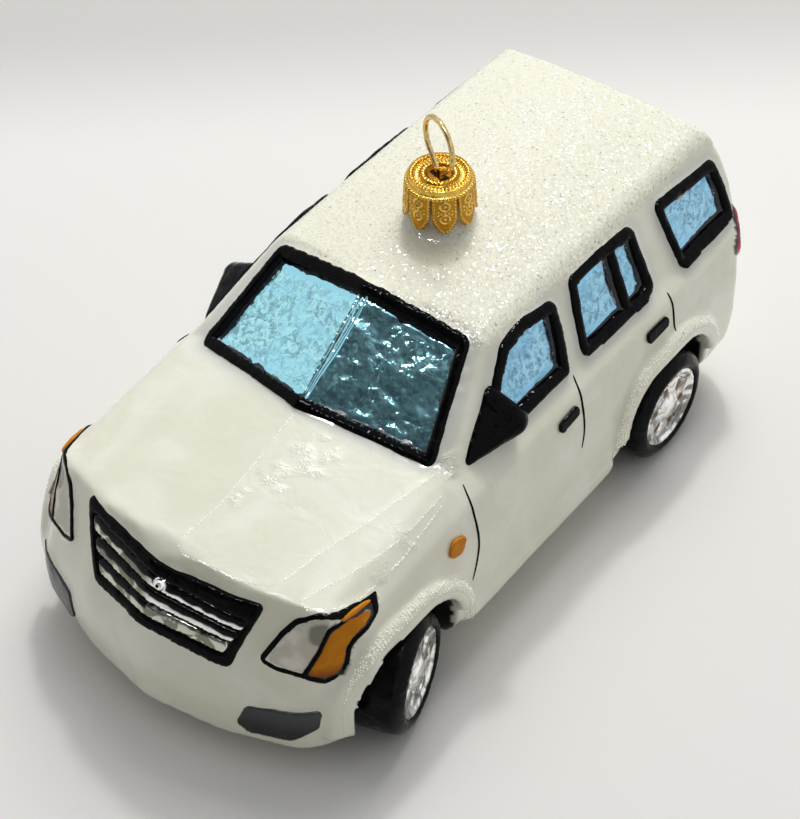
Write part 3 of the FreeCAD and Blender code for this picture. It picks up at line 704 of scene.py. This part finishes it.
front_low, front_high = node_box("tyre_front_left")
rear_low, rear_high = node_box("tyre_rear_left")
AXLE_Z = (rear_low.z + rear_high.z) / 2
FRONT_Y = (front_low.y + front_high.y) / 2
REAR_Y = (rear_low.y + rear_high.y) / 2
STEER = math.radians(18.0)
ARCH_HALF, ARCH_HEIGHT, ARCH_CORNER = 12.0, 11.0, 8.5
LIP_CREST, LIP_BAND = 2.4, 0.8
WELL_INSIDE, WELL_EDGE, WELL_BAND = 17.6, 29.4, 0.5
PIT_RADIUS, PIT_STEP, PIT_TURN = 3.9, math.radians(60), math.radians(15)


def beyond_arch(place, axle_y):
    """How far a place lies outside the outline of one wheel opening."""
    along = max(abs(place.y - axle_y) - ARCH_HALF + ARCH_CORNER, 0.0)
    above = max(place.z - AXLE_Z - ARCH_HEIGHT + ARCH_CORNER, 0.0)
    return math.hypot(along, above) - ARCH_CORNER


# The pressed relief of the cap: rings of the disc as radius, half width and count, and a petal's motifs

DISC_RINGS = [(4.2, 0.26, 46), (3.45, 0.42, 40), (2.45, 0.3, 26)]
PETAL_HALF, PETAL_POINT, BEAD = 2.08, 2.5, 0.56
RING_DOTS = (4.85, 2.6)
LOOSE_BEADS = [(0.0, 3.72), (0.62, 3.62), (1.05, 3.95), (1.05, 3.3)]
RIM_RING, BORDER_INSET, TOP_ROW, RING_RADIUS = 4.66, 0.42, 6.05, 0.72
DISC_DEPTH, SKIRT_DROP, PLAIN_HEIGHT = 0.85, 1.1, 0.6

_finishes = {}


def finishes():
    """All the materials, made once."""
    if not _finishes:
        glass = bpy.context.scene.ornament_glass
        crown = bpy.context.scene.ornament_cap
        lighter = tuple(min(1.0, channel * 1.9 + 0.004) for channel in glass.red)
        _finishes.update(
            pearl=pearl_finish(glass), pane=pane_finish("silvered_blue", glass.pane),
            screen=pane_finish("silvered_cyan", glass.screen), silver=silver_finish(),
            rim=rim_finish(), flake=flake_finish(), sugar=sugar_finish(),
            enamel=enamel_finish("black_enamel", glass.enamel, (0.004, 0.004, 0.005), 0.06, 0.06),
            tyre=enamel_finish("tyre_enamel", (0.003, 0.003, 0.0035), (0.007, 0.007, 0.008), 0.2, 0.08),
            smoke=smoke_finish(), clear=lamp_finish(),
            amber=enamel_finish("amber_enamel", glass.amber, (0.64, 0.25, 0.004), 0.15, 0.12,
                                foot=(0.30, 0.07, 0.004)),
            red=enamel_finish("red_enamel", glass.red, lighter, 0.15, 0.4, 0.5),
            gold=gold_finish("gold_cap", crown.gold, 0.2, True),
            wire=gold_finish("gold_wire", crown.wire, 0.16))
    return _finishes


class ORNAMENT_OT_body(bpy.types.Operator):
    """Blow the pearl body round the glass shell"""
    bl_idname = "ornament.body"
    bl_label = "Blown body"

    def execute(self, context):
        glass = context.scene.ornament_glass
        bm = copies(FILLED)
        # A plug closes the neck, so that the inside of the glass is apart from its outer skin
        plug = bmesh.ops.create_cone(bm, cap_ends=True, segments=24, radius1=PLUG_RADIUS,
                                     radius2=PLUG_RADIUS, depth=PLUG_DEPTH)
        bmesh.ops.translate(bm, vec=CAP_AXIS + Vector((0, 0, CAP_BOTTOM - PLUG_DROP)), verts=plug["verts"])
        bm = as_bmesh(soften(bm, glass.voxel, 3))
        keep_outer_skin(bm)
        self.relief(bm, glass)
        settle("blown_body", from_bmesh(bm), "pearl", CAR, ["body_shell"])
        return {"FINISHED"}

    def relief(self, bm, glass):
        """Waves in the glass, raised creases, and marks for glitter, enamel, a greyer tone near the window
        frames and crinkles.
        """
        layers = [bm.verts.layers.float.new(name) for name in BODY_MARKS]
        frames = tree_of(FRAMES)
        bands = [(reach, [tree_of(nodes) for nodes in groups]) for reach, groups in BLACK_BANDS]
        for vert in bm.verts:
            place = vert.co
            gap = gap_to(frames, place, COOL_REACH)
            strip = any(all(gap_to(tree, place, reach) < reach for tree in trees) for reach, trees in bands)
            arch = min(beyond_arch(place, FRONT_Y), beyond_arch(place, REAR_Y))
            edge = WELL_EDGE + 0.4 * noise.noise(place * 0.5)
            well = arch < WELL_BAND and WELL_INSIDE < abs(place.x) < edge
            frost, ridge = self.frost(vert, arch)
            lift = noise.noise(place * 0.11) * glass.ripple + CREASE_HEIGHT * ridge
            # Cool: a greyer tone near the window frames, above the belt.
            cool = COOL_SHARE * smoothstep(COOL_REACH, COOL_FULL, gap) * smoothstep(*BELT, place.z)
            for layer, value in zip(layers, (frost, float(well or strip), cool, self.crinkle(place))):
                vert[layer] = value
            vert.co = place + vert.normal * lift

    def frost(self, vert, arch):
        """How much glitter lies at a vertex, and how high a crease stands there."""
        place = vert.co
        rough = noise.noise(place * 0.9) * 0.9 + noise.noise(place * 0.23 + Vector((7, 0, 0))) * 1.2
        frost = smoothstep(*ROOF_EDGE, place.z + rough) * smoothstep(-0.1, 0.35, vert.normal.z)
        if place.y > 0:
            rear = smoothstep(*REAR_ROOF_EDGE, place.z + rough) * smoothstep(0.2, 0.6, vert.normal.z)
            frost = max(frost, rear)
        if abs(place.x) > WELL_EDGE and place.z > LIP_FOOT:
            frost = max(frost, math.exp(-((arch - LIP_CREST) / LIP_BAND) ** 2))
        if place.y < HOOD_END and place.z > HOOD_LOW:
            creases, height, width = (BEADED, 0.35, 0.5) if place.x > HOOD_MIDDLE else (RIDGES, 0.4, 1.2)
            near = min(crease.distance(place) for crease in creases)
            return frost, height * math.exp(-(near / width) ** 2)
        return frost, 0.0

    def crinkle(self, place):
        """Where the clear coat is crinkled: beside the hood's ridge and at the windscreen's feet."""
        spots = (smoothstep(reach, 0.4 * reach, (place - Vector(centre)).length)
                 for centre, reach in CRINKLED)
        return max(spots) * smoothstep(-0.15, 0.2, noise.noise(place * 0.45))


class ORNAMENT_OT_enamel_lines(bpy.types.Operator):
    """Draw the black lines round the windows and along the doors"""
    bl_idname = "ornament.enamel_lines"
    bl_label = "Black enamel lines"

    def execute(self, context):
        dress(["grille_surround", *FRAMES], "line", "line", "enamel")
        dress(both("headlamp_outline"), "line", "outline", "enamel")
        surface = surface_of("blown_body")
        radius = context.scene.ornament_glass.line_radius
        for side, sign in SIDES.items():
            for count, points in enumerate(DOOR_LINES, 1):
                mesh = drawn(on_side(points, sign), surface, radius)
                settle(f"door_line_{count}_{side}", mesh, "enamel", CAR)
        return {"FINISHED"}


class ORNAMENT_OT_windows(bpy.types.Operator):
    """Silver the windows under blue lacquer"""
    bl_idname = "ornament.windows"
    bl_label = "Silvered windows"

    def execute(self, context):
        frames = tree_of(FRAMES)
        for node in PANES:
            mesh = soften(copies([node]), *GRAINS["pane"])
            share = CALM_SHARE if node == "windscreen_left" else 1.0
            border = [gap_to(frames, vert.co, PANE_BORDER[1]) for vert in mesh.vertices]
            mark(mesh, "field", [share * smoothstep(*PANE_BORDER, gap) for gap in border])
            finish = "screen" if "windscreen" in node else "pane"
            settle(f"pane_{node}", mesh, finish, CAR, [node])
        mesh = drawn(KEEL, surface_of("blown_body"), KEEL_RADIUS)
        mark(mesh, "field", [0.0] * len(mesh.vertices))
        settle("pane_keel", mesh, "screen", CAR)
        return {"FINISHED"}


class ORNAMENT_OT_lamps(bpy.types.Operator):
    """Paint the lamps, side markers and fog lamps"""
    bl_idname = "ornament.lamps"
    bl_label = "Lamps"

    def execute(self, context):
        painted = [
            ("headlamp", "clear", "clear_lamp_enamel"), ("turn_lamp", "amber", "amber_enamel"),
            ("fog_lamp", "smoke", "smoke_enamel"), ("tail_lamp", "red", "red_enamel")]
        for kind, finish, slot in painted:
            dress(both(kind), "lamp", "lamp", finish)
        bm = copies(["side_markers"])
        for vert in bm.verts:
            y, z = vert.co.y - MARKER_Y, vert.co.z - MARKER_Z
            along, across = LEAN_COS * y + LEAN_SIN * z, LEAN_COS * z - LEAN_SIN * y
            along, across = 1.3 * along, across * (1.25 - 0.22 * along ** 2)
            vert.co.y = LEAN_COS * along - LEAN_SIN * across + MARKER_Y
            vert.co.z = LEAN_COS * across + LEAN_SIN * along + MARKER_Z
        mesh = soften(bm, *GRAINS["marker"])
        settle("lamp_side_markers", mesh, "amber", CAR, ["side_markers"])
        for side, sign in SIDES.items():
            ring = surface_of(f"line_headlamp_outline_{side}")
            mesh = drawn(on_side(AMBER_STRIP, sign), ring, AMBER_RADIUS)
            settle(f"amber_strip_{side}", mesh, "amber", CAR)
        return {"FINISHED"}


class ORNAMENT_OT_grille(bpy.types.Operator):
    """Silver the bars of the grille"""
    bl_idname = "ornament.grille"
    bl_label = "Grille bars"

    def execute(self, context):
        place = Matrix.Translation(BOSS) @ Matrix.Rotation(BOSS_LEAN, 4, "X")
        bm = copies(["grille_bars"])
        bmesh.ops.create_cone(bm, cap_ends=True, segments=24, radius1=0.75, radius2=0.6, depth=1.0,
                              matrix=place)
        mesh = soften(bm, *GRAINS["bar"])
        # The ink mark is enamel with painted dark reflection on the bars' upper parts.
        mark(mesh, "ink", [self.ink(vert.co) for vert in mesh.vertices])
        settle("silver_grille_bars", mesh, "silver", CAR, ["grille_bars"])
        bm = bmesh.new()
        middle = place @ Matrix.Translation((0, 0, 0.6))
        bmesh.ops.create_icosphere(bm, subdivisions=3, radius=0.33, matrix=middle)
        settle("grille_dot", from_bmesh(bm), "enamel", CAR)
        return {"FINISHED"}

    def ink(self, place):
        """How black the upper part of each bar is, as lapping enamel and painted dark reflection, but not the
        ring.
        """
        if (place - BOSS).length < BOSS_REACH:
            return 0.0
        edges = []
        for (left, middle, right) in (GRILLE_LOW, GRILLE_HIGH):
            start, end = (left, middle) if place.x < 0 else (middle, right)
            share = (place.x - start[0]) / (end[0] - start[0])
            edges.append(start[1] + (end[1] - start[1]) * share)
        up = (place.z - edges[0]) / (edges[1] - edges[0])
        bar = min(int(max(up, 0.0) * BARS), BARS - 1)
        across = up * BARS - bar + 0.12 * noise.noise(place * 0.8)
        dark_start = RIGHT_DARK_START if place.x < 0 else BAR_DARK_STARTS[bar]
        return smoothstep(dark_start - 0.06, dark_start + 0.06, across)


class ORNAMENT_OT_mirrors(bpy.types.Operator):
    """Shape the door mirrors and door handles"""
    bl_idname = "ornament.mirrors"
    bl_label = "Mirrors and handles"

    def execute(self, context):
        for side, sign in SIDES.items():
            bm = bmesh.new()
            for centre, radius in MIRROR_BALLS:
                place = Matrix.Diagonal((sign, 1, 1, 1)) @ Matrix.Translation(centre)
                bmesh.ops.create_icosphere(bm, subdivisions=3, radius=radius, matrix=place)
            hull = bmesh.ops.convex_hull(bm, input=bm.verts)
            spare = list({*hull["geom_interior"], *hull["geom_unused"]})
            bmesh.ops.delete(bm, geom=spare, context="VERTS")
            mesh = soften(bm, *GRAINS["mirror"])
            settle(f"black_mirror_{side}", mesh, "enamel", CAR, [f"mirror_{side}"])
        dress(both("door_handles"), "black", "handle", "enamel")
        return {"FINISHED"}


class ORNAMENT_OT_wheels(bpy.types.Operator):
    """Shape the moulded tyres and the silvered rims"""
    bl_idname = "ornament.wheels"
    bl_label = "Moulded wheels"

    def execute(self, context):
        dress(both("tyre_front", "tyre_rear"), "glass", "tyre", "tyre")
        for node in both("rim_front", "rim_rear"):
            turn = STEER if "front" in node else 0.0
            mesh = soften(copies([node]), *GRAINS["rim"])
            centre = (node_box(node)[0] + node_box(node)[1]) / 2
            along = Vector((-math.sin(turn), math.cos(turn), 0.0))
            mark(mesh, "pit", [self.pit(vert.co - centre, along) for vert in mesh.vertices])
            settle(f"silver_{node}", mesh, "rim", CAR, [node])
        return {"FINISHED"}

    def pit(self, place, along):
        """How brown the lacquer is in the pit at the middle of each window."""
        side = -place.dot(along)
        radius = math.hypot(side, place.z)
        turn = (math.atan2(side, place.z) - PIT_TURN) % PIT_STEP
        across = min(turn, PIT_STEP - turn) * radius
        return smoothstep(1.15, 0.75, math.hypot(radius - PIT_RADIUS, across / 0.75))


class ORNAMENT_OT_glitter(bpy.types.Operator):
    """Strew clear glitter over the roof and the arch lips, and set sugar beads along the creases"""
    bl_idname = "ornament.glitter"
    bl_label = "Glitter"

    def execute(self, context):
        glass = context.scene.ornament_glass
        dice = random.Random(11)
        body = bpy.data.objects["blown_body"].data
        self.flakes(body, glass, dice)
        self.beads(body, glass, dice)
        return {"FINISHED"}

    def glittered(self, body, least, top=math.inf):
        """Places and normals of the skin with more glitter than least and below top, in millimetres."""
        frost = body.attributes["glitter"].data
        return [(vert.co / MM, vert.normal.copy()) for vert in body.vertices
                if frost[vert.index].value > least and vert.co.z < top * MM]

    def flakes(self, body, glass, dice):
        """Six-sided flakes on the glittered skin, each with its own small tilt."""
        skin = self.glittered(body, 0.45)
        corners = [Vector((math.cos(k * math.tau / 6), math.sin(k * math.tau / 6), 0)) for k in range(6)]
        bm = bmesh.new()
        for _ in range(glass.flakes):
            place, normal = dice.choice(skin)
            turn = (normal + jitter(dice, 0.3)).to_track_quat("Z", "Y")
            shift = jitter(dice, 0.25)
            centre = place + shift - normal * (shift.dot(normal) - 0.05)
            radius = glass.flake / 2 * dice.uniform(0.6, 1.3)
            bm.faces.new([bm.verts.new(centre + turn @ corner * radius) for corner in corners])
        settle("glitter_flakes", from_bmesh(bm), "flake", CAR)

    def beads(self, body, glass, dice):
        """Small raised dots along each crease, with gaps, and strewn along the arch lips."""
        surface = BVHTree.FromPolygons([vert.co / MM for vert in body.vertices],
                                       [tuple(face.vertices) for face in body.polygons])
        centres = []
        for crease in BEADED:
            for point in crease.walk(glass.bead_step):
                place, normal = surface.find_nearest(point)[:2]
                if noise.noise(place * 0.8) > -0.3:
                    centres.append((place, normal, dice.uniform(0.07, 0.14)))
        lips = self.glittered(body, 0.5, LIP_TOP)
        centres += [(*dice.choice(lips), dice.uniform(0.05, 0.12)) for _ in range(glass.lip_beads)]
        ball = bmesh.new()
        bmesh.ops.create_icosphere(ball, subdivisions=1, radius=1.0)
        corners = [vert.co.copy() for vert in ball.verts]
        sides = [[vert.index for vert in face.verts] for face in ball.faces]
        ball.free()
        bm = bmesh.new()
        for place, normal, radius in centres:
            centre = place + normal * radius * 0.3 + jitter(dice, 0.08)
            verts = [bm.verts.new(centre + corner * radius) for corner in corners]
            for side in sides:
                bm.faces.new([verts[index] for index in side])
        settle("sugar_beads", from_bmesh(bm), "sugar", CAR)


class ORNAMENT_OT_crown(bpy.types.Operator):
    """Press the crown cap with its beaded petals, and finish its ring"""
    bl_idname = "ornament.crown"
    bl_label = "Crown cap and ring"

    def execute(self, context):
        crown = context.scene.ornament_cap
        bm = as_bmesh(soften(copies(["cap"]), crown.grain, 1))
        relief = bm.verts.layers.float.new("relief")
        for vert in bm.verts:
            place = vert.co - CAP_AXIS
            radius = math.hypot(place.x, place.y)
            outward = (place.x * vert.normal.x + place.y * vert.normal.y) / radius
            angle = math.atan2(place.y, place.x)
            if vert.normal.z > 0.5 and place.z > CAP_TOP - DISC_DEPTH:
                vert[relief] = self.disc(radius, angle)
            elif outward > 0.5 and place.z < CAP_TOP - SKIRT_DROP:
                pitch = math.tau / crown.petals
                across = ((angle + pitch / 2) % pitch - pitch / 2) * radius
                vert[relief] = self.petal(across, place.z - CAP_BOTTOM)
            else:
                vert[relief] = PLAIN_HEIGHT
                continue
            vert.co = vert.co + vert.normal * vert[relief] * crown.emboss
        settle("crown_cap", from_bmesh(bm), "gold", CAP, ["cap"])
        settle("wire_ring", from_bmesh(copies(["hanger"])), "wire", CAP, ["hanger"])
        return {"FINISHED"}

    def disc(self, radius, angle):
        """The pressed rings of the disc: beads at the rim, ribs inside them, and beads round the hollow."""
        height = 0.75 * smoothstep(0.14, 0.05, abs(radius - RIM_RING))
        for ring, half, count in DISC_RINGS:
            height = max(height, smoothstep(half, 0.4 * half, abs(radius - ring)) * swing(angle * count))
        return height

    def petal(self, across, up):
        """The pressed petal: beaded borders, two rings with dots and the beads between them."""
        side = abs(across)
        half = PETAL_HALF * min(1.0, math.sqrt(max(up, 0.0) / PETAL_POINT))
        beading = swing((up + 0.8 * side) / BEAD * math.tau)
        border = smoothstep(0.24, 0.08, abs(half - BORDER_INSET - side)) * beading
        height = max(border, smoothstep(0.3, 0.1, abs(up - TOP_ROW)) * swing(across / BEAD * math.tau))
        for centre in RING_DOTS:
            reach = math.hypot(across, up - centre)
            ring = smoothstep(0.2, 0.08, abs(reach - RING_RADIUS))
            height = max(height, ring, smoothstep(0.32, 0.12, reach))
        for x, z in LOOSE_BEADS:
            height = max(height, smoothstep(0.27, 0.1, math.hypot(side - x, up - z)))
        return height


class ORNAMENT_OT_stage(bpy.types.Operator):
    """Set the floor, the soft lights and the camera"""
    bl_idname = "ornament.stage"
    bl_label = "Stage"

    def execute(self, context):
        stage = context.scene.ornament_stage
        self.floor(stage)
        self.lights(context.scene, stage)
        self.camera(context.scene, stage)
        context.scene.view_settings.view_transform = "Standard"
        return {"FINISHED"}

    def floor(self, stage):
        """One wide pale sheet with painted shade: a little greyer at the back."""
        bm = bmesh.new()
        bmesh.ops.create_grid(bm, x_segments=1, y_segments=1, size=3.0)
        mesh = from_bmesh(bm)
        finish = Finish("floor")
        back = finish.vector("DOT_PRODUCT", finish.place, (-0.6355, 0.772, 0.0), "Value")
        # Painted shade: the floor darkens towards the back.
        painted_falloff_shade = finish.spread(back, 0.085, 0.135)
        mesh.materials.append(finish.set(
            Base_Color=finish.blend(painted_falloff_shade, stage.floor, tuple(0.72 * channel for channel in stage.floor)),
            Roughness=0.7, Specular_IOR_Level=0.3))
        floor = placed("floor", mesh)

    def lights(self, scene, stage):
        """A wide softbox and a small lamp behind the car, two glints above it, and what they stand in."""
        lamps = [
            ("softbox", 0.5, stage.soft, (-0.20, 0.53, 0.82)),
            ("spark", 0.07, stage.spark, (-0.25, 0.48, 0.84)),
            ("glint_above", 0.13, stage.glint, (0.10, -0.05, 1.0)),
            ("glint_front", 0.07, 0.3 * stage.glint, (-0.22, -0.29, 0.91))]
        for name, size, power, aim in lamps:
            lamp = bpy.data.lights.new(name, "AREA")
            lamp.size = size
            lamp.energy = power
            light = placed(name, lamp)
            towards = Vector(aim).normalized()
            light.location = towards * 0.9
            light.rotation_mode = "QUATERNION"
            light.rotation_quaternion = towards.to_track_quat("Z", "Y")
            light.visible_glossy = name != "softbox"
            light.visible_diffuse = not name.startswith("glint")
        self.surround(scene)
        self.flag()

    def surround(self, scene):
        """Shows pale everywhere, and lights the car more from behind than from the front."""
        world = bpy.data.worlds.new("studio")
        scene.world = world
        world.use_nodes = True
        graph = Graph(world.node_tree)
        rays = [graph.node("ShaderNodeLightPath", None, None, f"Is {kind} Ray")
                for kind in ("Camera", "Glossy", "Transmission")]
        seen = rays[0].top(rays[1]).top(rays[2])
        direction = graph.node("ShaderNodeTexCoord", None, None, "Generated")
        behind = graph.vector("DOT_PRODUCT", direction, Vector((-0.2, 0.62, 0.75)).normalized(), "Value")
        glow = graph.spread(behind, -0.5, 0.6, 0.05, 0.58)
        background = world.node_tree.nodes["Background"]
        graph.feed(background.inputs["Color"], (0.90, 0.91, 0.93))
        graph.feed(background.inputs["Strength"], glow * (1.0 - seen) + seen * 0.95)

    def flag(self):
        """The dark side of the studio, which only the silvering and the gloss show."""
        bm = bmesh.new()
        edge = [bm.verts.new((x, -1.3, 0.03)) for x in (-0.85, 0.75)]
        line = bm.edges.new(edge)
        bmesh.ops.spin(bm, geom=[*edge, line], cent=(0, 0, 0), axis=(-1, 0, 0), angle=math.radians(68),
                       steps=24)
        mesh = from_bmesh(bm)
        finish = Finish("dark_flag")
        patches = finish.spread(finish.noise(2.6, 2.0), 0.38, 0.6)
        mesh.materials.append(finish.set(
            Base_Color=finish.blend(patches, (0.07, 0.07, 0.075), (0.70, 0.72, 0.73)), Roughness=0.9))
        flag = placed("flag", mesh)
        flag.visible_camera = flag.visible_diffuse = flag.visible_shadow = False

    def camera(self, scene, stage):
        """The photograph's view: from the front left, well above."""
        azimuth, elevation, roll = math.radians(39.453), math.radians(45.671), math.radians(-2.316)
        target, distance = Vector((-9.21, 12.41, 0.0)) * MM, 338.6 * MM
        back = Vector((math.sin(azimuth) * math.cos(elevation), -math.cos(azimuth) * math.cos(elevation),
                       math.sin(elevation)))
        right = Vector((math.cos(azimuth), math.sin(azimuth), 0.0))
        up = back.cross(right)
        turned = right * math.cos(roll) + up * math.sin(roll)
        data = bpy.data.cameras.new("camera")
        data.lens = stage.lens
        data.clip_start, data.clip_end = 0.01, 10.0
        camera = placed("camera", data)
        camera.matrix_world = Matrix.Translation(target + back * distance) @ Matrix(
            (turned, back.cross(turned), back)).transposed().to_4x4()
        scene.camera = camera


class ORNAMENT_PT_panel(bpy.types.Panel):
    """The steps of the ornament, in order"""
    bl_label = "Glass ornament"
    bl_idname = "ORNAMENT_PT_panel"
    bl_space_type = "VIEW_3D"
    bl_region_type = "UI"
    bl_category = "Ornament"

    def draw(self, context):
        for step in STEPS:
            self.layout.operator(step.bl_idname)
        for group in ("ornament_glass", "ornament_cap", "ornament_stage"):
            settings = getattr(context.scene, group)
            for key in settings.__annotations__:
                self.layout.prop(settings, key)


STEPS = (
    ORNAMENT_OT_body, ORNAMENT_OT_enamel_lines, ORNAMENT_OT_windows, ORNAMENT_OT_lamps, ORNAMENT_OT_grille,
    ORNAMENT_OT_mirrors, ORNAMENT_OT_wheels, ORNAMENT_OT_glitter, ORNAMENT_OT_crown, ORNAMENT_OT_stage)
GROUPS = {"ornament_glass": GlassSettings, "ornament_cap": CapSettings, "ornament_stage": StageSettings}


def register():
    """Registers the settings, the steps and the panel."""
    for name, group in GROUPS.items():
        bpy.utils.register_class(group)
        setattr(bpy.types.Scene, name, PointerProperty(type=group))
    for step in STEPS:
        bpy.utils.register_class(step)
    bpy.utils.register_class(ORNAMENT_PT_panel)


def unregister():
    """Takes them away again."""
    bpy.utils.unregister_class(ORNAMENT_PT_panel)
    for step in reversed(STEPS):
        bpy.utils.unregister_class(step)
    for name, group in GROUPS.items():
        delattr(bpy.types.Scene, name)
        bpy.utils.unregister_class(group)


def main():
    """Makes the ornament and its stage."""
    register()
    for step in STEPS:
        getattr(bpy.ops.ornament, step.bl_idname.split(".")[1])()


if __name__ == "__main__":
    main()
